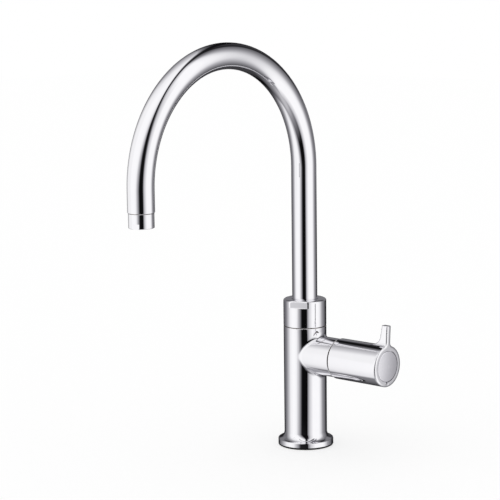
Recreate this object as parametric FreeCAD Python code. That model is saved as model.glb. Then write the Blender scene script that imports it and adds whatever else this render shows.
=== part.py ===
import FreeCAD, Part
import math
import os

# A swan-neck tap for one cold supply, in millimetres, +Z up. The origin is the centre of the
# foot on the deck, the spout points to the front (-Y) and the handle to the right (+X).

# Fits
running_clearance = 0.1
thread_clearance = 0.1
seat_clearance = 0.05
glide_clearance = 0.1
guide_clearance = 0.3
seal_clearance = 0.05
disc_film = 0.02

# Spout tube and its bend
tube_radius = 11.0
tube_wall = 1.0
bend_radius = 100.0
spout_rise = 116.2
tube_drop = 18.2

# Column, from the spout tube outwards
tail_wall = 0.95
tail_groove_depth = 1.45
neck_wall = 2.9
nut_wall = 2.25
column_wall = 4.2
foot_flare_width = 4.7
foot_flare_height = 6.0
foot_rim_height = 6.0
foot_rounding = 0.8
joint_bevel = 0.35
seam_rounding = 0.5

# Column, from the deck upwards
handle_height = 82.1
socket_web = 4.0
socket_below_joint = 11.5
neck_height = 11.5

# Underside
foot_cavity_depth = 38.0
gasket_width = 3.0
gasket_thickness = 2.0
inlet_offset = 6.5
inlet_thread_radius = 4.5
inlet_thread_depth = 14.0
passage_radius = 4.0
stud_offset = 7.0
stud_hole_radius = 3.4
stud_hole_depth = 18.0

# Spout joint
glide_thickness = 1.5
flange_thickness = 3.0
flange_gap = 0.5
nut_cap_thickness = 6.2
nut_hole_gap = 0.3
nut_seam = 0.3
nut_rounding = 1.8
nut_flat_height = 6.1
nut_flat_depth = 2.0
nut_flat_turn = 21.5
nut_flat_end_lean = 15.0
nut_flat_end_depth = 0.54
tail_end_gap = 1.5
tail_lip_height = 2.4
tail_first_groove = 4.6
tail_groove_pitch = 9.0
groove_width = 2.0

# Outlet
aerator_step = 0.6
aerator_length = 11.8
aerator_lip = 1.0
aerator_lip_height = 1.6
aerator_rounding = 0.5
aerator_flat_depth = 0.5
aerator_flat_height = 4.1
aerator_flat_turn = 17.0
outlet_gap = 0.3
spigot_length = 5.2
spigot_wall = 1.25
bush_wall = 0.95
bush_lip = 1.6
bush_lip_height = 1.5
outlet_washer_thickness = 2.0
insert_wall = 1.2
insert_floor = 2.5
jet_radius = 0.6
jet_pitch = 1.75
jet_rings = 3
screen_thickness = 0.4
mesh_hole_radius = 0.5
mesh_pitch = 1.4
mesh_rings = 4

# Valve, along the handle's axis from the column's axis
seat_distance = 4.0
valve_depth = 25.5
chamber_radius = 9.3
headwork_thread_radius = 10.4
headwork_thread_length = 9.0
seat_seal_thickness = 2.0
seat_seal_wall = 2.4
disc_radius = 6.85
disc_thickness = 3.0
disc_cup_gap = 0.15
cup_wall = 1.2
cup_depth = 10.0
window_width = 8.0
window_length = 5.0
disc_key_width = 2.4
port_inner_radius = 2.0
port_outer_radius = 5.4
port_sweep = 80.0
slot_width = 3.0
slot_depth = 1.2
stop_length = 3.0
stop_wall = 1.6
stop_lug_sweep = 40.0
stop_margin = 1.0
handle_travel = 90.0
spindle_radius = 4.55
spindle_groove_depth = 1.25
spindle_groove_pitch = 5.0
headwork_washer_thickness = 1.5
headwork_flange_rim = 2.0
headwork_flange_thickness = 2.0
hexagon_across_flats = 22.0
hexagon_length = 6.5
headwork_neck_wall = 2.55
headwork_neck_length = 6.5
circlip_thickness = 0.8
circlip_width = 2.6
circlip_groove_depth = 0.9
circlip_gap = 3.0
spline_teeth = 20
spline_radius = 4.1
spline_tooth_depth = 0.4
spline_length = 9.6

# Side boss and handle
hexagon_gap = 0.5
nose_wall = 1.1
guide_groove_depth = 0.6
guide_ring_width = 2.6
guide_ring_proud = 0.4
boss_step = 2.0
boss_nose_depth = 8.9
nose_length = 3.6
boss_fillet = 4.0
handle_gap = 1.25
handle_wall = 2.1
handle_length = 51.45
handle_rounding = 0.9
hub_gap = 1.0
hub_wall = 2.2
web_thickness = 3.0
bush_across_flats = 12.0
cap_ring_width = 4.1
cap_seam = 0.35
cap_ledge = 1.2
cap_thickness = 3.2
cap_dome = 0.5
cap_rounding = 0.5
cap_plug_length = 5.0
cap_groove_depth = 1.0
notch_width = 2.6
notch_reach = 1.2
notch_depth = 1.5
screw_radius = 2.0
screw_head_radius = 3.8
screw_head_height = 2.6
screw_length = 11.0
screw_socket_across_flats = 3.0
screw_socket_depth = 1.6
lever_height = 17.3
lever_thickness = 5.2
lever_tip_length = 5.8
lever_taper = 1.1
lever_back_fillet = 9.2
lever_side_fillet = 4.0
lever_rounding = 0.8
lever_sink = 0.15
lever_lean = 3.5

up = FreeCAD.Vector(0, 0, 1)
full_turn = 360.0
cut_margin = 1.0
same_place = 1e-6
hexagon_stretch = 1 / math.cos(math.pi / 6)

# Radii and heights that follow from the sizes above
tube_bore = tube_radius - tube_wall
tail_bore = tube_radius + seat_clearance
tail_groove_floor = tail_bore + tail_wall
tail_radius = tail_groove_floor + tail_groove_depth
socket_radius = tail_radius + running_clearance
neck_radius = socket_radius + neck_wall
nut_bore = neck_radius + thread_clearance
body_radius = nut_bore + nut_wall
foot_radius = body_radius + foot_flare_width + foot_rounding
foot_cavity_radius = body_radius - column_wall
socket_floor = handle_height + chamber_radius + socket_web
body_height = socket_floor + socket_below_joint
neck_top = body_height + neck_height
flange_bottom = neck_top + glide_thickness + glide_clearance
flange_top = flange_bottom + flange_thickness
flange_radius = nut_bore - flange_gap
nut_shoulder = flange_top + glide_clearance + glide_thickness
nut_top = nut_shoulder + nut_cap_thickness
spring_height = nut_top + spout_rise
tube_end = spring_height - tube_drop
tail_bottom = socket_floor + tail_end_gap
tube_bottom = tail_bottom + tail_lip_height
lower_groove = tail_bottom + tail_first_groove
upper_groove = lower_groove + tail_groove_pitch

aerator_radius = tube_radius - aerator_step
aerator_top = tube_end - outlet_gap
aerator_bottom = aerator_top - aerator_length
spigot_radius = tube_bore - seat_clearance - bush_wall - thread_clearance
spigot_top = tube_end + spigot_length
aerator_bore = spigot_radius - spigot_wall

boss_shoulder = seat_distance + valve_depth
boss_end = boss_shoulder + boss_nose_depth
counterbore_radius = hexagon_stretch * hexagon_across_flats / 2 + hexagon_gap
guide_groove_floor = counterbore_radius + nose_wall
nose_radius = guide_groove_floor + guide_groove_depth
boss_radius = nose_radius + boss_step
guide_ring_radius = nose_radius + guide_ring_proud
handle_bore = guide_ring_radius + guide_clearance
handle_radius = handle_bore + handle_wall
handle_start = boss_end + handle_gap
handle_end = handle_start + handle_length
lever_tip = handle_radius + lever_height

fixed_disc_start = seat_distance + seat_seal_thickness
moving_disc_start = fixed_disc_start + disc_thickness + disc_film
moving_disc_end = moving_disc_start + disc_thickness
cup_start = seat_distance + seat_seal_thickness / 2
cup_floor = cup_start + cup_depth
cup_bore = disc_radius + disc_cup_gap
cup_radius = cup_bore + cup_wall
stop_bore = cup_bore - stop_wall
stop_end = cup_floor + stop_length
spindle_bore = spindle_radius + running_clearance
spindle_groove_floor = spindle_radius - spindle_groove_depth
inner_groove = (stop_end + boss_shoulder - spindle_groove_pitch) / 2
outer_groove = inner_groove + spindle_groove_pitch
headwork_flange_start = boss_shoulder + headwork_washer_thickness
hexagon_start = headwork_flange_start + headwork_flange_thickness
headwork_neck_start = hexagon_start + hexagon_length
headwork_end = headwork_neck_start + headwork_neck_length
circlip_start = headwork_end + glide_clearance
hub_start = circlip_start + circlip_thickness + hub_gap
spindle_end = hub_start + spline_length
web_start = spindle_end + seat_clearance
web_end = web_start + web_thickness
cap_recess_radius = handle_radius - cap_ring_width
cap_bore = cap_recess_radius - cap_ledge
cap_ledge_place = handle_end - cap_thickness
cap_plug_radius = cap_bore - guide_clearance
cap_groove_floor = cap_plug_radius - cap_groove_depth
cap_groove_place = cap_ledge_place - cap_plug_length / 2


# Corners are (radius, height, rounding) in a plane through the axis. A rounding becomes a tangent arc.
def rounded_wire(corners):
    edges = []
    starts = []
    ends = []
    count = len(corners)
    for index, (u, v, rounding) in enumerate(corners):
        here = FreeCAD.Vector(u, 0, v)
        before = FreeCAD.Vector(corners[index - 1][0], 0, corners[index - 1][1]) - here
        after = FreeCAD.Vector(corners[(index + 1) % count][0], 0, corners[(index + 1) % count][1]) - here
        half_angle = before.getAngle(after) / 2
        before.normalize()
        after.normalize()
        reach = rounding / math.tan(half_angle)
        starts.append(here + before * reach)
        ends.append(here + after * reach)
        if rounding > 0:
            inwards = before + after
            inwards.normalize()
            middle = here + inwards * (rounding / math.sin(half_angle) - rounding)
            edges.append(Part.Arc(starts[-1], middle, ends[-1]).toShape())
    for index in range(count):
        start = ends[index - 1]
        end = starts[index]
        if start.distanceToPoint(end) > same_place:
            edges.append(Part.LineSegment(start, end).toShape())
    return Part.Wire(Part.__sortEdges__(edges))


def turned(corners):
    profile = Part.Face(rounded_wire(corners))
    return profile.revolve(FreeCAD.Vector(), up, full_turn)


def ring(outer, inner, bottom, top):
    return turned([(inner, bottom, 0), (outer, bottom, 0), (outer, top, 0), (inner, top, 0)])


def rod(radius, bottom, top):
    return Part.makeCylinder(radius, top - bottom, FreeCAD.Vector(0, 0, bottom))


# A pie-shaped solid, whose middle lies at the given angle from local X.
def sector(radius, bottom, top, middle, sweep):
    pie = Part.makeCylinder(radius, top - bottom, FreeCAD.Vector(0, 0, bottom), up, sweep)
    pie.rotate(FreeCAD.Vector(), up, middle - sweep / 2)
    return pie


def prism(points, bottom, top):
    corners = [FreeCAD.Vector(x, y, bottom) for x, y in points]
    face = Part.Face(Part.makePolygon(corners + corners[:1]))
    return face.extrude(up * (top - bottom))


def hexagon(across_flats, bottom, top):
    corner = hexagon_stretch * across_flats / 2
    angles = [math.pi / 3 * step for step in range(6)]
    return prism([(corner * math.cos(angle), corner * math.sin(angle)) for angle in angles], bottom, top)


def spline(tip_radius, bottom, top):
    points = []
    for step in range(2 * spline_teeth):
        radius = tip_radius - spline_tooth_depth * (step % 2)
        angle = math.pi * step / spline_teeth
        points.append((radius * math.cos(angle), radius * math.sin(angle)))
    return prism(points, bottom, top)


def block(width, depth, bottom, top):
    corner = FreeCAD.Vector(-width / 2, -depth / 2, bottom)
    return Part.makeBox(width, depth, top - bottom, corner)


# An O-ring lies on its groove's floor and reaches almost to the bore.
def o_ring(groove_floor, bore, height):
    section = (bore - seal_clearance - groove_floor) / 2
    return Part.makeTorus(groove_floor + section, section, FreeCAD.Vector(0, 0, height))


# Centres of a hexagonal pattern of holes: one in the middle and rings of 6, 12, 18 and so on.
def hexagonal_pattern(rings, pitch):
    places = []
    for row in range(-rings, rings + 1):
        for column in range(-rings, rings + 1):
            if abs(row + column) <= rings:
                places.append((pitch * (column + row / 2), pitch * row * math.sin(math.pi / 3)))
    return places


def drilled(plate, radius, places, bottom, top):
    holes = [rod(radius, bottom, top).translated(FreeCAD.Vector(x, y, 0)) for x, y in places]
    return plate.cut(Part.makeCompound(holes))


# Cutters for two opposite flats. The turn is measured from the front towards the right.
def flats(radius, depth, bottom, top, turn):
    cutters = []
    for side in (0, full_turn / 2):
        cutter = Part.makeBox(2 * radius, depth + radius, top - bottom,
                              FreeCAD.Vector(-radius, -2 * radius, bottom))
        cutter.rotate(FreeCAD.Vector(), up, turn + side)
        cutters.append(cutter)
    return Part.makeCompound(cutters)


# Valve and handle pieces are modelled upright and laid on their axis, local X up and local Y to the front.
def on_handle_axis(shape):
    laid = shape.copy()
    laid.rotate(FreeCAD.Vector(), up, -lever_lean)
    laid.rotate(FreeCAD.Vector(), FreeCAD.Vector(1, 0, 1), full_turn / 2)
    laid.translate(FreeCAD.Vector(0, 0, handle_height))
    return laid


def at_outlet(shape):
    return shape.translated(FreeCAD.Vector(0, -2 * bend_radius, 0))


def foot_and_column():
    rim = foot_radius - foot_rounding
    flare_top = foot_rim_height + foot_flare_height
    flare_radius = (foot_flare_width ** 2 + foot_flare_height ** 2) / (2 * foot_flare_width)
    flare_angle = math.asin(foot_flare_height / flare_radius) / 2
    flare_middle = FreeCAD.Vector(body_radius + flare_radius * (1 - math.cos(flare_angle)), 0,
                                  flare_top - flare_radius * math.sin(flare_angle))
    flare_foot = FreeCAD.Vector(rim, 0, foot_rim_height)
    flare_head = FreeCAD.Vector(body_radius, 0, flare_top)
    flare = Part.Face(Part.Wire([
        Part.Arc(flare_foot, flare_middle, flare_head).toShape(),
        Part.LineSegment(flare_head, FreeCAD.Vector(0, 0, flare_top)).toShape(),
        Part.LineSegment(FreeCAD.Vector(0, 0, flare_top), FreeCAD.Vector(0, 0, foot_rim_height)).toShape(),
        Part.LineSegment(FreeCAD.Vector(0, 0, foot_rim_height), flare_foot).toShape(),
    ])).revolve(FreeCAD.Vector(), up, full_turn)
    foot = turned([(0, 0, 0), (foot_radius, 0, foot_rounding), (foot_radius, foot_rim_height, foot_rounding),
                   (0, foot_rim_height, 0)])
    column = turned([(0, flare_top, 0), (body_radius, flare_top, 0),
                     (body_radius, body_height, seam_rounding), (neck_radius, body_height, 0),
                     (neck_radius, neck_top, 0), (0, neck_top, 0)])
    return foot.fuse([flare, column]).removeSplitter()


def boss():
    return turned([(0, 0, 0), (boss_radius, 0, 0), (boss_radius, boss_end, seam_rounding),
                   (nose_radius, boss_end, 0), (nose_radius, boss_end + nose_length, 0),
                   (0, boss_end + nose_length, 0)])


# The corner between the column and the boss is softened, as the casting's is.
def soften_saddle(casting):
    saddle = []
    for edge in casting.Edges:
        middle = edge.valueAt((edge.FirstParameter + edge.LastParameter) / 2)
        from_column = math.hypot(middle.x, middle.y)
        from_boss = math.hypot(middle.y, middle.z - handle_height)
        on_column = abs(from_column - body_radius) < seat_clearance
        on_boss = abs(from_boss - boss_radius) < seat_clearance
        if on_column and on_boss:
            saddle.append(edge)
    return casting.makeFillet(boss_fillet, saddle)


def gasket_ring(clearance):
    middle = (foot_cavity_radius + foot_radius) / 2
    half_width = gasket_width / 2 - clearance
    return ring(middle + half_width, middle - half_width, 0, gasket_thickness)


def make_body():
    casting = soften_saddle(foot_and_column().fuse(on_handle_axis(boss())).removeSplitter())
    inlet_top = foot_cavity_depth + inlet_thread_depth
    inlet = FreeCAD.Vector(-inlet_offset, 0, 0)
    outlet = FreeCAD.Vector(seat_distance + passage_radius + cut_margin, 0, 0)
    upright_cuts = [
        rod(foot_cavity_radius, -cut_margin, foot_cavity_depth),
        gasket_ring(0),
        rod(inlet_thread_radius, foot_cavity_depth - cut_margin, inlet_top).translated(inlet),
        rod(passage_radius, inlet_top - cut_margin, handle_height + passage_radius).translated(inlet),
        rod(stud_hole_radius, foot_cavity_depth - cut_margin, foot_cavity_depth + stud_hole_depth)
        .translated(FreeCAD.Vector(stud_offset, 0, 0)),
        rod(socket_radius, socket_floor, neck_top + cut_margin),
        rod(passage_radius, handle_height, socket_floor + cut_margin).translated(outlet),
    ]
    boss_mouth = boss_end + nose_length + cut_margin
    valve_cuts = [
        rod(passage_radius, -inlet_offset, seat_distance + cut_margin),
        rod(chamber_radius, seat_distance, boss_mouth),
        rod(headwork_thread_radius, boss_shoulder - headwork_thread_length, boss_mouth),
        rod(counterbore_radius, boss_shoulder, boss_mouth),
        ring(boss_radius, guide_groove_floor, boss_end, boss_end + guide_ring_width),
    ]
    return casting.cut(upright_cuts + [on_handle_axis(cutter) for cutter in valve_cuts])


def make_guide_ring():
    split = Part.makeBox(guide_ring_radius, guide_clearance, guide_ring_width,
                         FreeCAD.Vector(-guide_ring_radius, 0, boss_end))
    whole = ring(guide_ring_radius, guide_groove_floor + seat_clearance, boss_end + seat_clearance,
                 boss_end + guide_ring_width - seat_clearance)
    return on_handle_axis(whole.cut(split))


def make_spout_nut():
    hole = tube_radius + nut_hole_gap
    bottom = body_height + nut_seam
    nut = turned([(nut_bore, bottom, 0), (body_radius, bottom, seam_rounding),
                  (body_radius, nut_top, nut_rounding), (hole, nut_top, joint_bevel),
                  (hole, nut_shoulder, 0), (nut_bore, nut_shoulder, 0)])
    flat_bottom = nut_top - nut_flat_height
    above = nut_top + cut_margin
    cuts = [flats(body_radius, nut_flat_depth, flat_bottom, above, nut_flat_turn)]
    for lean in (-nut_flat_end_lean, nut_flat_end_lean):
        cuts.append(flats(body_radius, nut_flat_end_depth, flat_bottom, above, nut_flat_turn + lean))
    return nut.cut(cuts)


def make_upper_glide_ring():
    return ring(nut_bore - guide_clearance, tube_radius + guide_clearance + nut_hole_gap,
                nut_shoulder - glide_thickness, nut_shoulder)


def make_lower_glide_ring():
    return ring(nut_bore - guide_clearance, tail_radius + guide_clearance,
                neck_top, neck_top + glide_thickness)


def make_spout_tube():
    hole = Part.Face(Part.Wire(Part.makeCircle(tube_bore)))
    section = Part.Face(Part.Wire(Part.makeCircle(tube_radius))).cut(hole).Faces[0]
    section.translate(FreeCAD.Vector(0, 0, spring_height))
    riser = section.extrude(-up * (spring_height - tube_bottom))
    bend_centre = FreeCAD.Vector(0, -bend_radius, spring_height)
    bend = section.revolve(bend_centre, FreeCAD.Vector(1, 0, 0), full_turn / 2)
    drop = at_outlet(section.extrude(-up * tube_drop))
    tube = riser.fuse([bend, drop]).removeSplitter()
    outside = tube_radius + cut_margin
    bevel = turned([(tube_radius - joint_bevel, tube_end, 0), (outside, tube_end, 0),
                    (outside, tube_end + joint_bevel + cut_margin, 0)])
    return tube.cut(at_outlet(bevel))


def make_spout_tail():
    tail = turned([(tube_bore, tail_bottom, 0), (tail_radius - joint_bevel, tail_bottom, 0),
                   (tail_radius, tail_bottom + joint_bevel, 0), (tail_radius, flange_bottom, 0),
                   (flange_radius, flange_bottom, 0), (flange_radius, flange_top, 0),
                   (tail_bore, flange_top, 0), (tail_bore, tube_bottom, 0), (tube_bore, tube_bottom, 0)])
    grooves = [ring(tail_radius + cut_margin, tail_groove_floor, height - groove_width / 2,
                    height + groove_width / 2) for height in (lower_groove, upper_groove)]
    return tail.cut(grooves)


def make_outlet_bush():
    outer = tube_bore - seat_clearance
    inner = outer - bush_wall
    lip_start = spigot_top + outlet_washer_thickness
    lip_end = lip_start + bush_lip_height
    return at_outlet(turned([(inner, tube_end, 0), (outer, tube_end, 0), (outer, lip_end, 0),
                             (inner - bush_lip, lip_end, 0), (inner - bush_lip, lip_start, 0),
                             (inner, lip_start, 0)]))


def make_aerator_housing():
    lip = aerator_bore - aerator_lip
    lip_top = aerator_bottom + aerator_lip_height
    housing = turned([(lip, aerator_bottom, 0), (aerator_radius, aerator_bottom, aerator_rounding),
                      (aerator_radius, aerator_top, joint_bevel), (spigot_radius, aerator_top, 0),
                      (spigot_radius, spigot_top, 0), (aerator_bore, spigot_top, 0),
                      (aerator_bore, lip_top, 0), (lip, lip_top, 0)])
    return at_outlet(housing.cut(flats(aerator_radius, aerator_flat_depth, aerator_bottom - cut_margin,
                                       aerator_bottom + aerator_flat_height, aerator_flat_turn)))


def make_aerator_insert():
    radius = aerator_bore - seat_clearance
    inside = radius - insert_wall
    bottom = aerator_bottom + aerator_lip_height
    floor = bottom + insert_floor
    top = spigot_top - screen_thickness
    cup = turned([(0, bottom, 0), (radius, bottom, 0), (radius, top, 0), (inside, top, 0),
                  (inside, floor, 0), (0, floor, 0)])
    jets = hexagonal_pattern(jet_rings, jet_pitch)
    return at_outlet(drilled(cup, jet_radius, jets, bottom - cut_margin, floor + cut_margin))


def make_aerator_screen():
    plate = rod(aerator_bore - seat_clearance, spigot_top - screen_thickness, spigot_top)
    holes = hexagonal_pattern(mesh_rings, mesh_pitch)
    return at_outlet(drilled(plate, mesh_hole_radius, holes,
                             spigot_top - cut_margin, spigot_top + cut_margin))


def make_aerator_washer():
    return at_outlet(ring(spigot_radius, spigot_radius - bush_lip,
                          spigot_top, spigot_top + outlet_washer_thickness))


def ports(bottom, top, middle):
    pies = []
    for side in (0, full_turn / 2):
        pie = sector(port_outer_radius, bottom, top, middle + side, port_sweep)
        pies.append(pie.cut(rod(port_inner_radius, bottom, top)))
    return pies


def make_seat_seal():
    return on_handle_axis(ring(disc_radius, disc_radius - seat_seal_wall, seat_distance, fixed_disc_start))


# The fixed disc's two keys sit in notches in the cup's wall.
def disc_keys(width, start):
    return block(width, 2 * cup_radius, start, fixed_disc_start + disc_thickness)


def make_fixed_disc():
    keys = disc_keys(disc_key_width, fixed_disc_start)
    plain = rod(disc_radius, fixed_disc_start, fixed_disc_start + disc_thickness).fuse(keys)
    trimmed = plain.common(rod(cup_radius, fixed_disc_start, moving_disc_start))
    return on_handle_axis(trimmed.cut(ports(fixed_disc_start, moving_disc_start, full_turn / 4)))


# Closed at rest: the moving disc's ports lie a quarter turn from the fixed disc's.
def make_moving_disc():
    disc = rod(disc_radius, moving_disc_start, moving_disc_end)
    slot = block(2 * disc_radius, slot_width, moving_disc_end - slot_depth, moving_disc_end + cut_margin)
    return on_handle_axis(disc.cut(ports(moving_disc_start, moving_disc_end, 0) + [slot]))


def make_headwork_body():
    thread = headwork_thread_radius - thread_clearance
    thread_start = boss_shoulder - headwork_thread_length
    flange = thread + headwork_flange_rim
    neck = spindle_bore + headwork_neck_wall
    plain = turned([(0, cup_start, 0), (cup_radius, cup_start, 0), (cup_radius, thread_start, 0),
                    (thread, thread_start, 0), (thread, headwork_flange_start, 0),
                    (flange, headwork_flange_start, 0), (flange, hexagon_start, 0), (neck, hexagon_start, 0),
                    (neck, headwork_end, 0), (0, headwork_end, 0)])
    shaped = plain.fuse(hexagon(hexagon_across_flats, hexagon_start, headwork_neck_start))
    window_start = fixed_disc_start + disc_thickness + disc_film
    recess_sweep = stop_lug_sweep + handle_travel + 2 * stop_margin
    recess_middle = handle_travel / 2
    cuts = [
        rod(cup_bore, cup_start - cut_margin, cup_floor),
        rod(stop_bore, cup_floor - cut_margin, stop_end),
        sector(cup_bore, cup_floor - cut_margin, stop_end, recess_middle, recess_sweep),
        rod(spindle_bore, stop_end - cut_margin, headwork_end + cut_margin),
        block(window_width, 2 * headwork_thread_radius, window_start, window_start + window_length),
        disc_keys(disc_key_width + 2 * seat_clearance, cup_start - cut_margin),
    ]
    return on_handle_axis(shaped.cut(cuts))


def make_headwork_washer():
    inner = headwork_thread_radius
    outer = headwork_thread_radius - thread_clearance + headwork_flange_rim
    return on_handle_axis(ring(outer, inner, boss_shoulder, headwork_flange_start))


def make_spindle():
    tongue_width = slot_width - 2 * seat_clearance
    tongue_length = 2 * (disc_radius - disc_cup_gap)
    tongue_start = moving_disc_end - slot_depth + seat_clearance
    tongue_end = cup_floor - disc_cup_gap
    collar_start = cup_floor + disc_cup_gap
    collar_end = stop_end - disc_cup_gap
    collar = stop_bore - disc_cup_gap
    shaft = rod(spindle_radius, tongue_end, circlip_start + circlip_thickness + seat_clearance)
    solid = shaft.fuse([
        block(tongue_length, tongue_width, tongue_start, tongue_end),
        rod(collar, collar_start, collar_end),
        sector(cup_bore - disc_cup_gap, collar_start, collar_end, 0, stop_lug_sweep),
        spline(spline_radius, circlip_start, spindle_end),
    ])
    circlip_floor = spindle_radius - circlip_groove_depth
    outside = spindle_radius + cut_margin
    cuts = [ring(outside, spindle_groove_floor, place - groove_width / 2, place + groove_width / 2)
            for place in (inner_groove, outer_groove)]
    cuts.append(ring(outside, circlip_floor, circlip_start - seat_clearance,
                     circlip_start + circlip_thickness + seat_clearance))
    cuts.append(rod(screw_radius + thread_clearance, web_end - screw_length - cut_margin,
                    spindle_end + cut_margin))
    return on_handle_axis(solid.cut(cuts))


def make_circlip():
    inner = spindle_radius - circlip_groove_depth + seat_clearance
    outer = inner + circlip_width
    whole = ring(outer, inner, circlip_start, circlip_start + circlip_thickness)
    mouth = Part.makeBox(2 * outer, circlip_gap, circlip_thickness,
                         FreeCAD.Vector(0, -circlip_gap / 2, circlip_start))
    return on_handle_axis(whole.cut(mouth))


def make_spline_bush():
    bush = hexagon(bush_across_flats, hub_start, spindle_end)
    return on_handle_axis(bush.cut(spline(spline_radius + seat_clearance, hub_start - cut_margin,
                                          spindle_end + cut_margin)))


# The handle's outline seen from its end: the round grip and the lever's sides, joined by concave arcs.
def keyhole():
    half = lever_thickness / 2
    reach = handle_radius + lever_side_fillet
    arc_side = half + lever_side_fillet
    arc_up = math.sqrt(reach ** 2 - arc_side ** 2)
    arc_turn = math.atan2(arc_up, arc_side) / 2
    corner = lever_rounding * (1 - math.sin(math.pi / 4))
    root = FreeCAD.Vector(arc_up, arc_side, 0) * (handle_radius / reach)
    bow = FreeCAD.Vector(arc_up - lever_side_fillet * math.sin(arc_turn),
                         arc_side - lever_side_fillet * math.cos(arc_turn), 0)
    shoulder = FreeCAD.Vector(arc_up, half, 0)
    corner_start = FreeCAD.Vector(lever_tip - lever_rounding, half, 0)
    corner_middle = FreeCAD.Vector(lever_tip - corner, half - corner, 0)
    corner_end = FreeCAD.Vector(lever_tip, half - lever_rounding, 0)
    edges = []
    for side in (1, -1):
        points = [FreeCAD.Vector(place.x, side * place.y, 0)
                  for place in (root, bow, shoulder, corner_start, corner_middle, corner_end)]
        edges.append(Part.Arc(*points[0:3]).toShape())
        edges.append(Part.LineSegment(*points[2:4]).toShape())
        edges.append(Part.Arc(*points[3:6]).toShape())
    edges.append(Part.LineSegment(corner_end, FreeCAD.Vector(lever_tip, -corner_end.y, 0)).toShape())
    edges.append(Part.Arc(root, FreeCAD.Vector(-handle_radius, 0, 0),
                          FreeCAD.Vector(root.x, -root.y, 0)).toShape())
    return Part.Face(Part.Wire(Part.__sortEdges__(edges)))


# Everything in front of the lever's back edge, which runs down to the grip in a concave quarter arc.
# The arc ends a little under the grip's top, so that it cuts the grip cleanly.
def lever_side():
    tip_back = handle_end - lever_tip_length
    arc_top = handle_radius - lever_sink + lever_back_fillet
    arc_back = tip_back - lever_taper - lever_back_fillet

    def on_arc(angle):
        return FreeCAD.Vector(arc_top - lever_back_fillet * math.sin(angle), 0,
                              arc_back + lever_back_fillet * math.cos(angle))

    above = lever_tip + cut_margin
    beyond = handle_end + cut_margin
    arc_start = on_arc(0)
    arc_end = on_arc(math.pi / 2)
    corners = [arc_start, FreeCAD.Vector(lever_tip, 0, tip_back), FreeCAD.Vector(above, 0, tip_back),
               FreeCAD.Vector(above, 0, beyond), FreeCAD.Vector(0, 0, beyond), FreeCAD.Vector(0, 0, arc_back),
               arc_end]
    edges = [Part.LineSegment(start, end).toShape() for start, end in zip(corners, corners[1:])]
    edges.append(Part.Arc(arc_end, on_arc(math.pi / 4), arc_start).toShape())
    side = Part.Face(Part.Wire(edges)).extrude(FreeCAD.Vector(0, 2 * handle_radius, 0))
    return side.translated(FreeCAD.Vector(0, -handle_radius, 0))


# The grip and lever are one bar of that outline, rounded at its end and cut back behind the lever.
def handle_outside():
    bar = keyhole().extrude(up * handle_length).translated(FreeCAD.Vector(0, 0, handle_start))
    end_edges = []
    for face in bar.Faces:
        if abs(face.CenterOfMass.z - handle_end) < seat_clearance:
            end_edges.extend(face.OuterWire.Edges)
    rounded = bar.makeFillet(handle_rounding, end_edges)
    around = ring(lever_tip + handle_radius, handle_radius, handle_start - cut_margin,
                  handle_end + cut_margin)
    outside = handle_radius + cut_margin
    bevel = turned([(handle_radius - joint_bevel, handle_start, 0), (outside, handle_start, 0),
                    (outside, handle_start + joint_bevel + cut_margin, 0)])
    return rounded.cut([around.cut(lever_side()), bevel])


def make_handle():
    hub_radius = hexagon_stretch * bush_across_flats / 2 + hub_wall
    notch_end = cap_recess_radius + notch_reach
    notch = block(notch_end, notch_width, handle_end - notch_depth, handle_end + cut_margin)
    notch.translate(FreeCAD.Vector(-notch_end / 2, 0, 0))
    cuts = [
        ring(handle_bore, hub_radius, handle_start - cut_margin, web_start),
        rod(hub_radius, handle_start - cut_margin, hub_start),
        hexagon(bush_across_flats + 2 * seat_clearance, hub_start - cut_margin, web_start),
        rod(screw_radius + guide_clearance, web_start - cut_margin, web_end + cut_margin),
        rod(cap_bore, web_end, handle_end + cut_margin),
        rod(cap_recess_radius, cap_ledge_place, handle_end + cut_margin),
        notch,
    ]
    return on_handle_axis(handle_outside().cut(cuts))


def make_handle_cap():
    radius = cap_recess_radius - cap_seam
    rim_edge = radius - cap_rounding
    dome_radius = (rim_edge ** 2 + cap_dome ** 2) / (2 * cap_dome)
    crown = handle_end + cap_dome
    dome = Part.makeSphere(dome_radius, FreeCAD.Vector(0, 0, crown - dome_radius))
    disc = turned([(0, cap_ledge_place, 0), (radius, cap_ledge_place, 0), (radius, handle_end, cap_rounding),
                   (rim_edge, handle_end, 0), (rim_edge, crown, 0), (0, crown, 0)])
    crowned = disc.common(dome.fuse(rod(radius + cut_margin, cap_ledge_place - cut_margin, handle_end)))
    stem = ring(cap_plug_radius, cap_groove_floor - cap_ledge, cap_ledge_place - cap_plug_length,
                cap_ledge_place)
    groove = ring(cap_bore, cap_groove_floor, cap_groove_place - groove_width / 2,
                  cap_groove_place + groove_width / 2)
    return on_handle_axis(crowned.fuse(stem).cut(groove))


def make_handle_screw():
    head = turned([(0, web_end, 0), (screw_head_radius, web_end, 0),
                   (screw_head_radius, web_end + screw_head_height, joint_bevel),
                   (0, web_end + screw_head_height, 0)])
    shank = rod(screw_radius, web_end - screw_length, web_end)
    socket = hexagon(screw_socket_across_flats, web_end + screw_head_height - screw_socket_depth,
                     web_end + screw_head_height + cut_margin)
    return on_handle_axis(head.fuse(shank).cut(socket))


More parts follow.
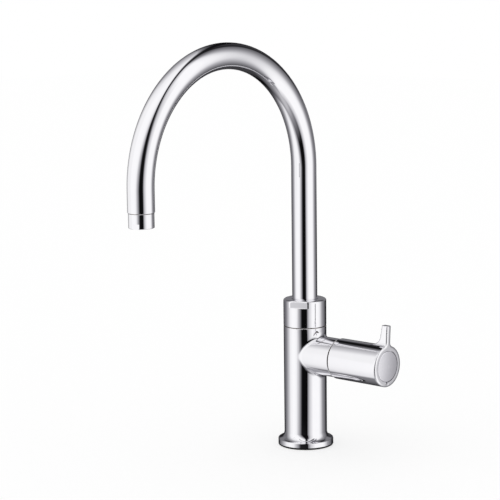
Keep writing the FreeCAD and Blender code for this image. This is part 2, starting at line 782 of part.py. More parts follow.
pieces = {
    "body": make_body(),
    "base_gasket": gasket_ring(seat_clearance),
    "spout_nut": make_spout_nut(),
    "upper_glide_ring": make_upper_glide_ring(),
    "lower_glide_ring": make_lower_glide_ring(),
    "headwork_body": make_headwork_body(),
    "headwork_washer": make_headwork_washer(),
    "fixed_disc": make_fixed_disc(),
    "seat_seal": make_seat_seal(),
    "handle_guide_ring": make_guide_ring(),
    "spout_tube": make_spout_tube(),
    "spout_tail": make_spout_tail(),
    "upper_spout_o_ring": o_ring(tail_groove_floor, socket_radius, upper_groove),
    "lower_spout_o_ring": o_ring(tail_groove_floor, socket_radius, lower_groove),
    "outlet_bush": make_outlet_bush(),
    "aerator_housing": make_aerator_housing(),
    "aerator_insert": make_aerator_insert(),
    "aerator_screen": make_aerator_screen(),
    "aerator_washer": make_aerator_washer(),
    "handle": make_handle(),
    "handle_cap": make_handle_cap(),
    "cap_o_ring": on_handle_axis(o_ring(cap_groove_floor, cap_bore, cap_groove_place)),
    "handle_screw": make_handle_screw(),
    "spline_bush": make_spline_bush(),
    "spindle": make_spindle(),
    "inner_spindle_o_ring": on_handle_axis(o_ring(spindle_groove_floor, spindle_bore, inner_groove)),
    "outer_spindle_o_ring": on_handle_axis(o_ring(spindle_groove_floor, spindle_bore, outer_groove)),
    "spindle_circlip": make_circlip(),
    "moving_disc": make_moving_disc(),
}

os.makedirs("parts", exist_ok=True)
for name, shape in pieces.items():
    shape.exportStep(os.path.join("parts", name + ".step"))
    box = shape.BoundBox
    print(name, "solids", len(shape.Solids), "valid", shape.isValid(), "volume", round(shape.Volume, 1),
          "x", round(box.XMin, 2), round(box.XMax, 2), "y", round(box.YMin, 2), round(box.YMax, 2),
          "z", round(box.ZMin, 2), round(box.ZMax, 2))
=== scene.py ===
import math

import bmesh
import bpy
from mathutils import Matrix, Vector

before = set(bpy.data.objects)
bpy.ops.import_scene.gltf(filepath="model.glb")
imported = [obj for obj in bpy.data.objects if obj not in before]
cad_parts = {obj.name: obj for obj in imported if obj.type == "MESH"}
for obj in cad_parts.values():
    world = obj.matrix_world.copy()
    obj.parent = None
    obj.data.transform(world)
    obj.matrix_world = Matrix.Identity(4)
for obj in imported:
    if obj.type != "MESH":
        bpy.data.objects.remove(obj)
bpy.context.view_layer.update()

# Column with its foot and side boss
# One brass casting, turned, polished to a mirror and chrome plated outside. The foot's underside, the
# neck's thread and the bores stay bare brass with cutting marks, because plating does not reach them. A
# thin ring of bare brass at the boss's end is painted shade, for the dark seam between boss and handle.


def add(tree, kind, inputs=None, **settings):
    node = tree.nodes.new(kind)
    for name, value in settings.items():
        setattr(node, name, value)
    for name, value in (inputs or {}).items():
        if isinstance(value, bpy.types.NodeSocket):
            tree.links.new(value, node.inputs[name])
        else:
            node.inputs[name].default_value = value
    return node


def new_group(name, inputs, outputs):
    tree = bpy.data.node_groups.new(name, "ShaderNodeTree")
    for socket, kind in inputs.items():
        tree.interface.new_socket(socket, in_out="INPUT", socket_type=kind)
    for socket, kind in outputs.items():
        tree.interface.new_socket(socket, in_out="OUTPUT", socket_type=kind)
    return tree, tree.nodes.new("NodeGroupInput").outputs, tree.nodes.new("NodeGroupOutput").inputs


def math_node(tree, operation, *values):
    return add(tree, "ShaderNodeMath", dict(enumerate(values)), operation=operation).outputs[0]


def product(tree, first, *others):
    for other in others:
        first = math_node(tree, "MULTIPLY", first, other)
    return first


def vector_node(tree, operation, *values):
    return add(tree, "ShaderNodeVectorMath", dict(enumerate(values)), operation=operation).outputs


def spread(tree, value, low, high, to_low, to_high):
    return add(tree, "ShaderNodeMapRange", {"Value": value, "From Min": low, "From Max": high,
                                            "To Min": to_low, "To Max": to_high}).outputs["Result"]


# A Mix node's sockets share their names, so they are taken by their place.
def colours(tree, factor, first, second):
    node = add(tree, "ShaderNodeMix", {0: factor}, data_type="RGBA")
    for socket, colour in ((node.inputs[6], first), (node.inputs[7], second)):
        if isinstance(colour, bpy.types.NodeSocket):
            tree.links.new(colour, socket)
        else:
            socket.default_value = (*colour, 1)
    return node.outputs[2]


def amounts(tree, factor, first, second):
    return add(tree, "ShaderNodeMix", {0: factor, 2: first, 3: second}, data_type="FLOAT").outputs[0]


def from_axis(tree, place):
    return vector_node(tree, "LENGTH", vector_node(tree, "MULTIPLY", place, (1, 1, 0))[0])["Value"]


# Rings is the fine ridging that a lathe leaves around the local Z axis, on round and on flat faces alike.
ring_swing = 0.7
lathe, given, result = new_group(
    "lathe rings", {"Place": "NodeSocketVector", "Pitch": "NodeSocketFloat"}, {"Rings": "NodeSocketFloat"})
along = add(lathe, "ShaderNodeSeparateXYZ", {0: given["Place"]}).outputs["Z"]
travel = math_node(lathe, "DIVIDE", math_node(lathe, "ADD", from_axis(lathe, given["Place"]), along),
                   given["Pitch"])
chatter = add(lathe, "ShaderNodeTexNoise", {"W": travel, "Scale": 0.23, "Detail": 2.0},
              noise_dimensions="1D").outputs[0]
wave = math_node(lathe, "SINE", math_node(lathe, "MULTIPLY", travel, 2 * math.pi))
uneven_wave = math_node(lathe, "MULTIPLY", wave, chatter)
lathe.links.new(spread(lathe, uneven_wave, -ring_swing, ring_swing, 0, 1), result["Rings"])

# Chrome over brass: haze is the soft cloudiness of the polish and ripple the slight unevenness under it.
# Where the plating is missing, the brass shows with its lathe rings.
chrome_dim = (0.862, 0.858, 0.886)
chrome_bright = (0.90, 0.893, 0.913)
chrome_polish = 0.012
chrome_haze = 0.035
haze_low = 0.35
haze_high = 0.7
brass_groove = (0.22, 0.17, 0.10)
brass_ridge = (0.36, 0.28, 0.17)
groove_roughness = 0.30
ridge_roughness = 0.45
plated, given, result = new_group(
    "chrome over brass",
    {"Place": "NodeSocketVector", "Bare": "NodeSocketFloat", "Rings": "NodeSocketFloat"},
    {"Color": "NodeSocketColor", "Roughness": "NodeSocketFloat", "Height": "NodeSocketFloat"})
haze = add(plated, "ShaderNodeTexNoise", {"Vector": given["Place"], "Scale": 160.0, "Detail": 4.0,
                                          "Roughness": 0.6}).outputs[0]
ripple = add(plated, "ShaderNodeTexNoise", {"Vector": given["Place"], "Scale": 70.0, "Detail": 1.0,
                                            "Roughness": 0.4}).outputs[0]
chrome_colour = colours(plated, haze, chrome_dim, chrome_bright)
brass_colour = colours(plated, given["Rings"], brass_groove, brass_ridge)
chrome_roughness = spread(plated, haze, haze_low, haze_high, chrome_polish, chrome_haze)
brass_roughness = spread(plated, given["Rings"], 0, 1, groove_roughness, ridge_roughness)
plated.links.new(colours(plated, given["Bare"], chrome_colour, brass_colour), result["Color"])
plated.links.new(amounts(plated, given["Bare"], chrome_roughness, brass_roughness), result["Roughness"])
plated.links.new(amounts(plated, given["Bare"], ripple, given["Rings"]), result["Height"])


def new_material(name, metallic):
    material = bpy.data.materials.new(name)
    material.use_nodes = True
    tree = material.node_tree
    sockets = tree.nodes["Principled BSDF"].inputs
    sockets["Metallic"].default_value = metallic
    return material, tree, sockets, add(tree, "ShaderNodeTexCoord").outputs["Object"]


# Moves a piece's axis to the origin and turns it upright.
def about_axis(tree, place, centre, turn):
    moved = vector_node(tree, "SUBTRACT", place, centre)[0]
    return add(tree, "ShaderNodeVectorRotate", {"Vector": moved, "Rotation": turn},
               rotation_type="EULER_XYZ").outputs[0]


def bump_into(tree, sockets, height, distance):
    bump = add(tree, "ShaderNodeBump", {"Height": height, "Distance": distance})
    tree.links.new(bump.outputs["Normal"], sockets["Normal"])
    return bump


def rings_on(tree, place, pitch):
    return add(tree, "ShaderNodeGroup", {"Place": place, "Pitch": pitch}, node_tree=lathe).outputs["Rings"]


# Buffing rounds some edges by a radius that changes over the piece.
def rounded(tree, radius):
    return add(tree, "ShaderNodeBevel", {"Radius": radius}, samples=16).outputs["Normal"]


cut_pitch = 0.0004
plating_relief = 0.000006
plating_fade = 0.0003


def plate(tree, sockets, place, along, bare, normal=None):
    rings = rings_on(tree, along, cut_pitch)
    skin = add(tree, "ShaderNodeGroup", {"Place": place, "Bare": bare, "Rings": rings},
               node_tree=plated).outputs
    tree.links.new(skin["Color"], sockets["Base Color"])
    tree.links.new(skin["Roughness"], sockets["Roughness"])
    bump = bump_into(tree, sockets, skin["Height"], plating_relief)
    if normal:
        tree.links.new(normal, bump.inputs["Normal"])


# The plating thins out over a short fade at its edges, past a distance or short of it.
def past(tree, distance, edge):
    return spread(tree, distance, edge, edge + plating_fade, 0, 1)


def short_of(tree, distance, edge):
    return spread(tree, distance, edge, edge + plating_fade, 1, 0)


def dress(material, *names):
    for name in names:
        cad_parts[name].material_slots[0].material = material


handle_centre = (0, 0, 0.0821)
handle_turn = (0, math.radians(-90), 0)
column_skin = 0.0181
boss_skin = 0.0161
# Past this point on the boss's end, bare brass is painted as shade in the seam.
shaded_seam_start = 0.0382
neck_foot = 0.1066
foot_underside = 0

body_chrome, tree, sockets, place = new_material("body chrome", 1.0)
apart = add(tree, "ShaderNodeSeparateXYZ", {0: place}).outputs
from_boss = from_axis(tree, about_axis(tree, place, handle_centre, handle_turn))
on_column = past(tree, from_axis(tree, place), column_skin)
outside_boss = math_node(tree, "MAXIMUM", past(tree, from_boss, boss_skin),
                         math_node(tree, "LESS_THAN", apart["X"], 0))
# Past this point the boss's end shows bare brass as painted shade, a dark line in the seam before the
# handle.
short_of_shaded_seam = short_of(tree, apart["X"], shaded_seam_start)
below_neck = short_of(tree, apart["Z"], neck_foot)
above_deck = past(tree, apart["Z"], foot_underside)
covered = product(tree, on_column, outside_boss, below_neck, above_deck, short_of_shaded_seam)
bare_brass_and_seam_shade = math_node(tree, "SUBTRACT", 1, covered)

# The saddle between boss and column is buffed softest at its tip, in front and behind.
saddle_tip = (0.0085, 0.0169, 0.0821)
saddle_rounding = 0.004
saddle_core = 0.002
saddle_reach = 0.006
from_tip = vector_node(tree, "DISTANCE", vector_node(tree, "ABSOLUTE", place)[0], saddle_tip)["Value"]
buffed = spread(tree, from_tip, saddle_core, saddle_reach, saddle_rounding, 0)
plate(tree, sockets, place, place, bare_brass_and_seam_shade, rounded(tree, buffed))
dress(body_chrome, "body")

# Spout nut
# Turned brass, threaded onto the column's neck, with two flats for a spanner. It holds the spout down and
# is polished and chrome plated like the column, except for its thread. Its shoulder is buffed soft.
nut_skin = 0.0172
nut_thread_top = 0.1245
shoulder_radius = 0.0155
shoulder_height = 0.1285
shoulder_rounding = 0.002
buffing_fade = 0.001
nut_chrome, tree, sockets, place = new_material("nut chrome", 1.0)
height = add(tree, "ShaderNodeSeparateXYZ", {0: place}).outputs["Z"]
from_middle = from_axis(tree, place)
thread = product(tree, short_of(tree, from_middle, nut_skin), short_of(tree, height, nut_thread_top))
at_shoulder = product(
    tree, spread(tree, from_middle, shoulder_radius, shoulder_radius + buffing_fade, 0, 1),
    spread(tree, height, shoulder_height, shoulder_height + buffing_fade, 0, shoulder_rounding))
plate(tree, sockets, place, place, thread, rounded(tree, at_shoulder))
dress(nut_chrome, "spout_nut")

# Gooseneck
# A drawn brass tube, bent to a half circle, polished and chrome plated, with its tail and bush brazed on.
# Its bore is bare. Outside, the tube is shaded by its exact round normal, so that no facets show.
bend_radius = 0.1
bend_height = 0.247
bore_radius = 0.0103
skin_radius = 0.01085
skin_fade = 0.0001
upright = (0, 0, 0)
neck_chrome, tree, sockets, place = new_material("gooseneck chrome", 1.0)
from_bend = about_axis(tree, place, (0, -bend_radius, bend_height), upright)
apart = add(tree, "ShaderNodeSeparateXYZ", {0: from_bend}).outputs
risen = math_node(tree, "MAXIMUM", apart["Z"], 0)
in_plane = add(tree, "ShaderNodeCombineXYZ", {"Y": apart["Y"], "Z": risen}).outputs[0]
off_line = math_node(tree, "SUBTRACT", vector_node(tree, "LENGTH", in_plane)["Value"], bend_radius)
from_line = from_axis(tree, add(tree, "ShaderNodeCombineXYZ", {"X": apart["X"], "Y": off_line}).outputs[0])
bore = short_of(tree, from_line, bore_radius)
across_bend = add(tree, "ShaderNodeVectorMath", {0: vector_node(tree, "NORMALIZE", in_plane)[0],
                                                 "Scale": off_line}, operation="SCALE").outputs[0]
across_plane = add(tree, "ShaderNodeCombineXYZ", {"X": apart["X"]}).outputs[0]
outward = vector_node(tree, "NORMALIZE", vector_node(tree, "ADD", across_plane, across_bend)[0])[0]
round_normal = add(tree, "ShaderNodeVectorTransform", {0: outward}, vector_type="NORMAL",
                   convert_from="OBJECT", convert_to="WORLD").outputs[0]
on_skin = spread(tree, from_line, skin_radius, skin_radius + skin_fade, 0, 1)
mesh_normal = add(tree, "ShaderNodeNewGeometry").outputs["Normal"]
tube_normal = add(tree, "ShaderNodeMix", {0: on_skin, 4: mesh_normal, 5: round_normal},
                  data_type="VECTOR").outputs[1]
plate(tree, sockets, place, place, bore, tube_normal)
dress(neck_chrome, "spout_tube")

# Outlet tip
# A turned and plated brass housing with two small flats, screwed into the bush in the end of the gooseneck.
# Its inside is bare, up from its mouth.
outlet_centre = (0, -0.2, 0)
tip_skin = 0.0092
tip_mouth = 0.2168
tip_chrome, tree, sockets, place = new_material("outlet chrome", 1.0)
along_outlet = about_axis(tree, place, outlet_centre, upright)
height = add(tree, "ShaderNodeSeparateXYZ", {0: place}).outputs["Z"]
inside = short_of(tree, from_axis(tree, along_outlet), tip_skin)
above_mouth = past(tree, height, tip_mouth)
plate(tree, sockets, place, along_outlet, product(tree, inside, above_mouth))
dress(tip_chrome, "aerator_housing")

# Handle and its cap
# A casting, polished and plated outside, with its lever cast on. Its bore and the recess behind the cap are
# bare, and its lever and end rim are buffed soft. The cap pressed into its end is spun satin, so it shows
# fine circles around its middle.
handle_skin = 0.0171
recess_plated_to = 0.0849
lever_foot = 0.0178
lever_rounding = 0.0015
rim_radius = 0.0145
rim_fade_start = 0.0865
rim_fade_end = 0.0880
rim_rounding = 0.0031
grip_chrome, tree, sockets, place = new_material("handle chrome", 1.0)
reach = add(tree, "ShaderNodeSeparateXYZ", {0: place}).outputs["X"]
along_handle = about_axis(tree, place, handle_centre, handle_turn)
from_middle = from_axis(tree, along_handle)
hollow = product(tree, short_of(tree, from_middle, handle_skin), short_of(tree, reach, recess_plated_to))
at_lever = spread(tree, from_middle, lever_foot, lever_foot + buffing_fade, 0, lever_rounding)
at_rim = product(tree, spread(tree, from_middle, rim_radius, rim_radius + buffing_fade, 0, 1),
                 spread(tree, reach, rim_fade_start, rim_fade_end, 0, rim_rounding))
buffed = math_node(tree, "MAXIMUM", at_lever, at_rim)
plate(tree, sockets, place, along_handle, hollow, rounded(tree, buffed))
dress(grip_chrome, "handle")

satin_groove = (0.825, 0.815, 0.853)
satin_ridge = (0.89, 0.88, 0.915)
satin_pitch = 0.00025
satin_relief = 0.000003
satin_smooth = 0.10
satin_rough = 0.2
cap_satin, tree, sockets, place = new_material("satin chrome", 1.0)
rings = rings_on(tree, about_axis(tree, place, handle_centre, handle_turn), satin_pitch)
tree.links.new(colours(tree, rings, satin_groove, satin_ridge), sockets["Base Color"])
tree.links.new(spread(tree, rings, 0, 1, satin_smooth, satin_rough), sockets["Roughness"])
bump_into(tree, sockets, rings, satin_relief)
dress(cap_satin, "handle_cap")

# Brass inner pieces
# The spout's tail, the bush in its end, the valve's housing and its spindle are turned from brass bar and
# left bare, so they show lathe rings and a slightly tarnished, patchy tone.
column_centre = (0, 0, 0)
bar_groove = (0.70, 0.51, 0.24)
bar_ridge = (0.83, 0.65, 0.36)
bar_tarnish = (0.52, 0.36, 0.17)
bar_pitch = 0.0003
bar_relief = 0.00001
bar_smooth = 0.2
bar_rough = 0.42
tarnish_high = 0.75
tarnish_seen = 0.45
tarnish_felt = 0.3


def turned_brass(name, centre, turn, *nodes):
    brass, tree, sockets, place = new_material(name, 1.0)
    rings = rings_on(tree, about_axis(tree, place, centre, turn), bar_pitch)
    tarnish = add(tree, "ShaderNodeTexNoise", {"Vector": place, "Scale": 220.0, "Detail": 3.0}).outputs[0]
    clean = colours(tree, rings, bar_groove, bar_ridge)
    patches = spread(tree, tarnish, tarnish_seen, tarnish_high, 0, 1)
    tree.links.new(colours(tree, patches, clean, bar_tarnish), sockets["Base Color"])
    tree.links.new(spread(tree, tarnish, tarnish_felt, tarnish_high, bar_smooth, bar_rough),
                   sockets["Roughness"])
    bump_into(tree, sockets, rings, bar_relief)
    dress(brass, *nodes)


turned_brass("column brass", column_centre, upright, "spout_tail")
turned_brass("outlet brass", outlet_centre, upright, "outlet_bush")
turned_brass("valve brass", handle_centre, handle_turn, "headwork_body", "spindle")

# Rubber seals
# Moulded black rubber: the gasket under the foot, the O-rings and the washers. A pale bloom lies on the
# rubber. Speck is the fine unevenness that a mould leaves.
cloud_low = 0.35
speck_low = 0.3
mould_high = 0.7
moulded, given, result = new_group(
    "moulded skin", {"Place": "NodeSocketVector", "Grain per metre": "NodeSocketFloat"},
    {"Cloud": "NodeSocketFloat", "Speck": "NodeSocketFloat"})
cloud = add(moulded, "ShaderNodeTexNoise", {"Vector": given["Place"], "Scale": 130.0, "Detail": 3.0})
speck = add(moulded, "ShaderNodeTexNoise", {"Vector": given["Place"], "Scale": given["Grain per metre"],
                                            "Detail": 2.0})
moulded.links.new(cloud.outputs[0], result["Cloud"])
moulded.links.new(speck.outputs[0], result["Speck"])


def moulded_piece(name, *nodes, grain, dark, pale, smooth, rough, relief):
    material, tree, sockets, place = new_material(name, 0.0)
    skin = add(tree, "ShaderNodeGroup", {"Place": place, "Grain per metre": grain},
               node_tree=moulded).outputs
    bloom = spread(tree, skin["Cloud"], cloud_low, mould_high, 0, 1)
    tree.links.new(colours(tree, bloom, dark, pale), sockets["Base Color"])
    tree.links.new(spread(tree, skin["Speck"], speck_low, mould_high, smooth, rough), sockets["Roughness"])
    bump_into(tree, sockets, skin["Speck"], relief)
    dress(material, *nodes)


moulded_piece("seal rubber", "base_gasket", "seat_seal", "upper_spout_o_ring", "lower_spout_o_ring",
              "cap_o_ring", "inner_spindle_o_ring", "outer_spindle_o_ring", "aerator_washer",
              "headwork_washer",
              grain=2500.0, dark=(0.018, 0.018, 0.019), pale=(0.04, 0.04, 0.041), smooth=0.5, rough=0.75,
              relief=0.00003)

# Plastic pieces
# Two white glide rings that the spout turns on and the splined bush in the handle, a black ring between
# boss and handle, and the grey jet insert of the outlet, all injection moulded.
moulded_piece("white plastic", "upper_glide_ring", "lower_glide_ring", "spline_bush",
              grain=1800.0, dark=(0.80, 0.80, 0.77), pale=(0.88, 0.88, 0.86), smooth=0.3, rough=0.5,
              relief=0.000015)
moulded_piece("black plastic", "handle_guide_ring",
              grain=1800.0, dark=(0.022, 0.022, 0.025), pale=(0.04, 0.04, 0.043), smooth=0.4, rough=0.6,
              relief=0.000015)
moulded_piece("grey plastic", "aerator_insert",
              grain=1800.0, dark=(0.46, 0.49, 0.52), pale=(0.55, 0.58, 0.61), smooth=0.3, rough=0.5,
              relief=0.000015)

# Ceramic discs
# Two fired alumina discs, lapped flat against each other, off-white with faint grey clouds.
moulded_piece("valve ceramic", "fixed_disc", "moving_disc",
              grain=5000.0, dark=(0.86, 0.85, 0.81), pale=(0.95, 0.94, 0.91), smooth=0.12, rough=0.3,
              relief=0.000004)

# Stainless pieces
# The handle's screw, the circlip on the spindle and the outlet's screen are stainless steel, with the fine
# streaks of rolling and drawing.
steel_dim = (0.60, 0.60, 0.59)
steel_bright = (0.74, 0.74, 0.73)
steel_smooth = 0.2
steel_rough = 0.38
streak_low = 0.3
streak_high = 0.7
streak_stretch = (0.06, 1, 1)
streak_relief = 0.000006
stainless, tree, sockets, place = new_material("stainless", 1.0)
streaked = vector_node(tree, "MULTIPLY", place, streak_stretch)[0]
streak = add(tree, "ShaderNodeTexNoise", {"Vector": streaked, "Scale": 3000.0, "Detail": 3.0}).outputs[0]
tree.links.new(colours(tree, streak, steel_dim, steel_bright), sockets["Base Color"])
tree.links.new(spread(tree, streak, streak_low, streak_high, steel_smooth, steel_rough),
               sockets["Roughness"])
bump_into(tree, sockets, streak, streak_relief)
dress(stainless, "handle_screw", "spindle_circlip", "aerator_screen")

# Camera
# A long lens from the right of the front, a little above the tap.
camera_azimuth = math.radians(39.91)
camera_distance = 1.5916
camera_height = 0.42889
camera_pitch = math.radians(9.10)
camera_yaw = math.radians(1.709)
camera_roll = math.radians(-0.715)
camera_lens = 132.97
camera_sight = 20

heading = camera_azimuth + camera_yaw
forward = Vector((-math.sin(heading) * math.cos(camera_pitch), math.cos(heading) * math.cos(camera_pitch),
                  -math.sin(camera_pitch)))
level_right = Vector((math.cos(heading), math.sin(heading), 0))
level_up = level_right.cross(forward)
right = level_right * math.cos(camera_roll) + level_up * math.sin(camera_roll)
up = level_up * math.cos(camera_roll) - level_right * math.sin(camera_roll)
spot = Vector((math.sin(camera_azimuth) * camera_distance, -math.cos(camera_azimuth) * camera_distance,
               camera_height))
camera = bpy.data.objects.new("camera", bpy.data.cameras.new("camera"))
camera.data.lens = camera_lens
camera.data.clip_end = camera_sight
camera.matrix_world = Matrix.Translation(spot) @ Matrix((right, up, -forward)).transposed().to_4x4()
bpy.context.scene.collection.objects.link(camera)
bpy.context.scene.camera = camera

# White floor in even light
# A matt white sheet that keeps a faint shadow of the tap. The metal mirrors it only within a few
# millimetres,
# as a painted shade: a dark line that stands in for the shadow where the foot touches it. Elsewhere the
# metal mirrors the tent. It is clear from below, so that the foot can be seen.


def stage_object(name, shape, material):
    mesh = bpy.data.meshes.new(name)
    shape.to_mesh(mesh)
    shape.free()
    thing = bpy.data.objects.new(name, mesh)
    thing.data.materials.append(material)
    bpy.context.scene.collection.objects.link(thing)
    return thing


def stage_material(name):
    material = bpy.data.materials.new(name)
    material.use_nodes = True
    material.node_tree.nodes.clear()
    return material, material.node_tree


floor_drop = 0.0002
floor_reach = 4.0
floor_white = (0.99, 0.99, 0.99, 1)
floor_glow = 0.6
# Painted shade: the flat dark colour that mirrored rays get where the foot meets the floor.
painted_contact_shade = (0.01, 0.01, 0.01, 1)
painted_shade_reach = 0.007
pure_white = (1, 1, 1, 1)
white, tree = stage_material("white floor")
paper = add(tree, "ShaderNodeBsdfDiffuse", {"Color": floor_white})
glowing = add(tree, "ShaderNodeEmission", {"Color": pure_white, "Strength": 1.0})
path = add(tree, "ShaderNodeLightPath").outputs
lit = add(tree, "ShaderNodeMixShader", {0: math_node(tree, "MULTIPLY", path["Is Camera Ray"], floor_glow),
                                        1: paper.outputs[0], 2: glowing.outputs[0]})
# Mirrored rays that meet the floor this close to their start see a painted shade in place of the foot's
# shadow.
in_painted_shade = math_node(tree, "LESS_THAN", path["Ray Length"], painted_shade_reach)
dark = add(tree, "ShaderNodeEmission", {"Color": painted_contact_shade, "Strength": 1.0})
clear = add(tree, "ShaderNodeBsdfTransparent")
mirrored = add(tree, "ShaderNodeMixShader", {0: in_painted_shade, 1: clear.outputs[0], 2: dark.outputs[0]})
above = add(tree, "ShaderNodeMixShader", {0: path["Is Glossy Ray"], 1: lit.outputs[0],
                                          2: mirrored.outputs[0]})
came_through = math_node(tree, "GREATER_THAN", path["Transparent Depth"], 0)
backfacing = add(tree, "ShaderNodeNewGeometry").outputs["Backfacing"]
from_below = math_node(tree, "MAXIMUM", backfacing, came_through)
either = add(tree, "ShaderNodeMixShader", {0: from_below, 1: above.outputs[0], 2: clear.outputs[0]})
add(tree, "ShaderNodeOutputMaterial", {"Surface": either.outputs[0]})
shape = bmesh.new()
bmesh.ops.create_grid(shape, x_segments=1, y_segments=1, size=floor_reach,
                      matrix=Matrix.Translation((0, 0, -floor_drop)))
stage_object("floor", shape, white)

world = bpy.data.worlds.new("even light")
world.use_nodes = True
world.node_tree.nodes["Background"].inputs["Color"].default_value = pure_white
world.node_tree.nodes["Background"].inputs["Strength"].default_value = 1.0
bpy.context.scene.world = world

# Light tent
# What the polished metal mirrors: a big white panel on the left that reaches overhead, another on the
# right, a dark gap between them where the camera looks in, a low grey rear wall and a grey table.
tent_centre = Vector((0.053, -0.279, 0.142))
tent_radius = 0.724
glow, tree = stage_material("light tent")
place = add(tree, "ShaderNodeTexCoord").outputs["Object"]
towards = vector_node(tree, "NORMALIZE", vector_node(tree, "SUBTRACT", place, tent_centre)[0])[0]


def share_along(direction):
    return vector_node(tree, "DOT_PRODUCT", towards, direction)["Value"]


def in_degrees(angle):
    return math_node(tree, "MULTIPLY", angle, math.degrees(1))


def degrees_along(direction):
    return in_degrees(math_node(tree, "ARCSINE", share_along(direction)))


# A panel's edge is a plane through the tent's centre. It crosses the horizon at an azimuth, in degrees to
# the right of the camera, and leans to the right as it rises. The result is how many degrees a direction
# lies beyond it.
def right_of(azimuth, lean):
    turn = camera_azimuth + math.radians(azimuth)
    tilt = math.radians(lean)
    across = Vector((math.cos(turn), math.sin(turn), 0))
    return degrees_along(across * math.cos(tilt) - Vector((0, 0, 1)) * math.sin(tilt))


def left_of(azimuth, lean):
    return math_node(tree, "MULTIPLY", right_of(azimuth, lean), -1)


# Brightness along an angle, given as stops of degrees and level.
def fade(angle, *stops):
    low = stops[0][0]
    high = stops[-1][0]
    node = add(tree, "ShaderNodeValToRGB", {0: spread(tree, angle, low, high, 0, 1)})
    elements = node.color_ramp.elements
    for degrees, level in stops[1:-1]:
        elements.new((degrees - low) / (high - low)).color = (level, level, level, 1)
    elements[0].color = (stops[0][1], stops[0][1], stops[0][1], 1)
    elements[-1].color = (stops[-1][1], stops[-1][1], stops[-1][1], 1)
    return node.outputs["Color"]


height = degrees_along(Vector((0, 0, 1)))


# A value that changes with the height, given as two stops of degrees and value.
def by_height(low, high):
    return spread(tree, height, low[0], high[0], low[1], high[1])


backwards = Vector((-math.sin(camera_azimuth), math.cos(camera_azimuth), 0))
sideways = Vector((math.cos(camera_azimuth), math.sin(camera_azimuth), 0))

# The left panel is dimmer beside the gap, over the top and towards the rear. Its edge is softer low down.
gap_left = (2, 12.1)
over_top = (-30.2, 24.8)
left_side = (-85.3, 2.1)
left_gap = math_node(tree, "DIVIDE", left_of(*gap_left), by_height((30, 1.4), (60, 0.4)))
left_panel = product(tree, fade(left_gap, (-1, 0), (1, 0.33), (9.4, 1)),
                     fade(left_of(*over_top), (-24, 0.144), (-12, 0.554), (11, 0.968), (25, 1)),
                     fade(right_of(*left_side), (-60, 0.437), (-40, 0.7), (-20, 0.953), (0, 1)))

# The right panel is dimmer beside the gap too, softer there higher up, and keeps off the left panel
# overhead. It dims as it turns back, a little sooner low down, and is darkest near its rear edge.
gap_right = (26.6, 2.9)
right_gap = right_of(*gap_right)
right_blur = math_node(tree, "DIVIDE", right_gap, by_height((0, 1.5), (30, 8.8)))
right_depth = math_node(tree, "MULTIPLY", right_gap, by_height((45, 1), (70, 1.9)))
turned_back = math_node(
    tree, "ADD", in_degrees(math_node(tree, "ARCTAN2", share_along(backwards), share_along(sideways))),
    by_height((5, 3), (30, 0)))
right_panel = product(tree, fade(right_blur, (-1, 0), (1, 1)),
                      fade(right_depth, (0, 0.46), (14, 0.81), (34.3, 1)),
                      fade(turned_back, (10, 1), (18, 0.95), (23, 0.87), (28, 0.73), (34, 0.61), (42, 0.49),
                           (50, 0.41), (55, 0.18), (60, 0.17), (66, 0.25)),
                      fade(right_of(*gap_left), (3, 0), (7, 0.85), (18, 1)))

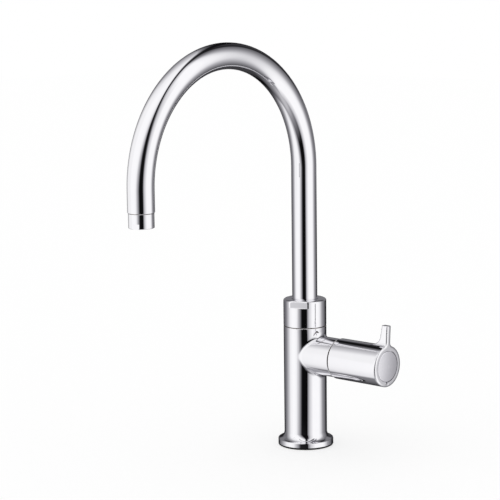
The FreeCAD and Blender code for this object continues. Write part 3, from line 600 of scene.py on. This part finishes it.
# Elsewhere the tent is dark, and lighter far down, where the table is, and overhead. Levels are as the eye
# sees them, and the darks are a little cooler than the whites.
eye_power = 2.2
white_strength = 1.08
dark_tone = (1, 0.98, 1.1)
white_tone = (1, 1, 1)
table = fade(height, (-80, 0.74), (-60, 0.527), (-40, 0.338), (-28, 0.075), (50, 0.103), (65, 0.15),
             (80, 0.2))
rear_wall = product(tree, fade(degrees_along(backwards), (20, 0), (50, 1)),
                    fade(height, (-6, 0), (4, 0.47), (14, 0.47), (26, 0)))
panels = math_node(tree, "MAXIMUM", left_panel, right_panel)
level = math_node(tree, "MAXIMUM", panels, math_node(tree, "MAXIMUM", rear_wall, table))
strength = math_node(tree, "MULTIPLY", math_node(tree, "POWER", level, eye_power), white_strength)
tone = colours(tree, level, dark_tone, white_tone)
glowing = add(tree, "ShaderNodeEmission", {"Color": tone, "Strength": strength})
add(tree, "ShaderNodeOutputMaterial", {"Surface": glowing.outputs[0]})
glow.cycles.emission_sampling = "NONE"
shape = bmesh.new()
bmesh.ops.create_icosphere(shape, subdivisions=5, radius=tent_radius,
                           matrix=Matrix.Translation(tent_centre))
tent = stage_object("light_tent", shape, glow)

# White card
# A white sheet on the left of the outlet that fades out at its edges, most of all towards its rear. The
# outlet's leg mirrors it along its left edge.
card_side = -0.14
card_front = -0.36
card_rear = -0.13
card_bottom = 0.14
card_top = 0.55
front_fade = 0.08
rear_fade = 0.11
bottom_fade = 0.05
top_fade = 0.1
bounced, tree = stage_material("white card")
apart = add(tree, "ShaderNodeSeparateXYZ", {0: add(tree, "ShaderNodeTexCoord").outputs["Object"]}).outputs
seen = product(tree, spread(tree, apart["Y"], card_front, card_front + front_fade, 0, 1),
               spread(tree, apart["Y"], card_rear - rear_fade, card_rear, 1, 0),
               spread(tree, apart["Z"], card_bottom, card_bottom + bottom_fade, 0, 1),
               spread(tree, apart["Z"], card_top - top_fade, card_top, 1, 0))
sheet = add(tree, "ShaderNodeEmission", {"Color": pure_white, "Strength": 1.0})
clear = add(tree, "ShaderNodeBsdfTransparent")
faded = add(tree, "ShaderNodeMixShader", {0: seen, 1: clear.outputs[0], 2: sheet.outputs[0]})
add(tree, "ShaderNodeOutputMaterial", {"Surface": faded.outputs[0]})
bounced.cycles.emission_sampling = "NONE"
shape = bmesh.new()
corners = ((card_front, card_bottom), (card_rear, card_bottom), (card_rear, card_top),
           (card_front, card_top))
shape.faces.new([shape.verts.new((card_side, depth, rise)) for depth, rise in corners])
card = stage_object("white_card", shape, bounced)

# Only mirrored rays meet the tent and the card, which cast no shadow.
for mirrored_only in (tent, card):
    mirrored_only.visible_camera = False
    mirrored_only.visible_diffuse = False
    mirrored_only.visible_transmission = False
    mirrored_only.visible_volume_scatter = False
    mirrored_only.visible_shadow = False

bpy.context.scene.view_settings.view_transform = "Standard"
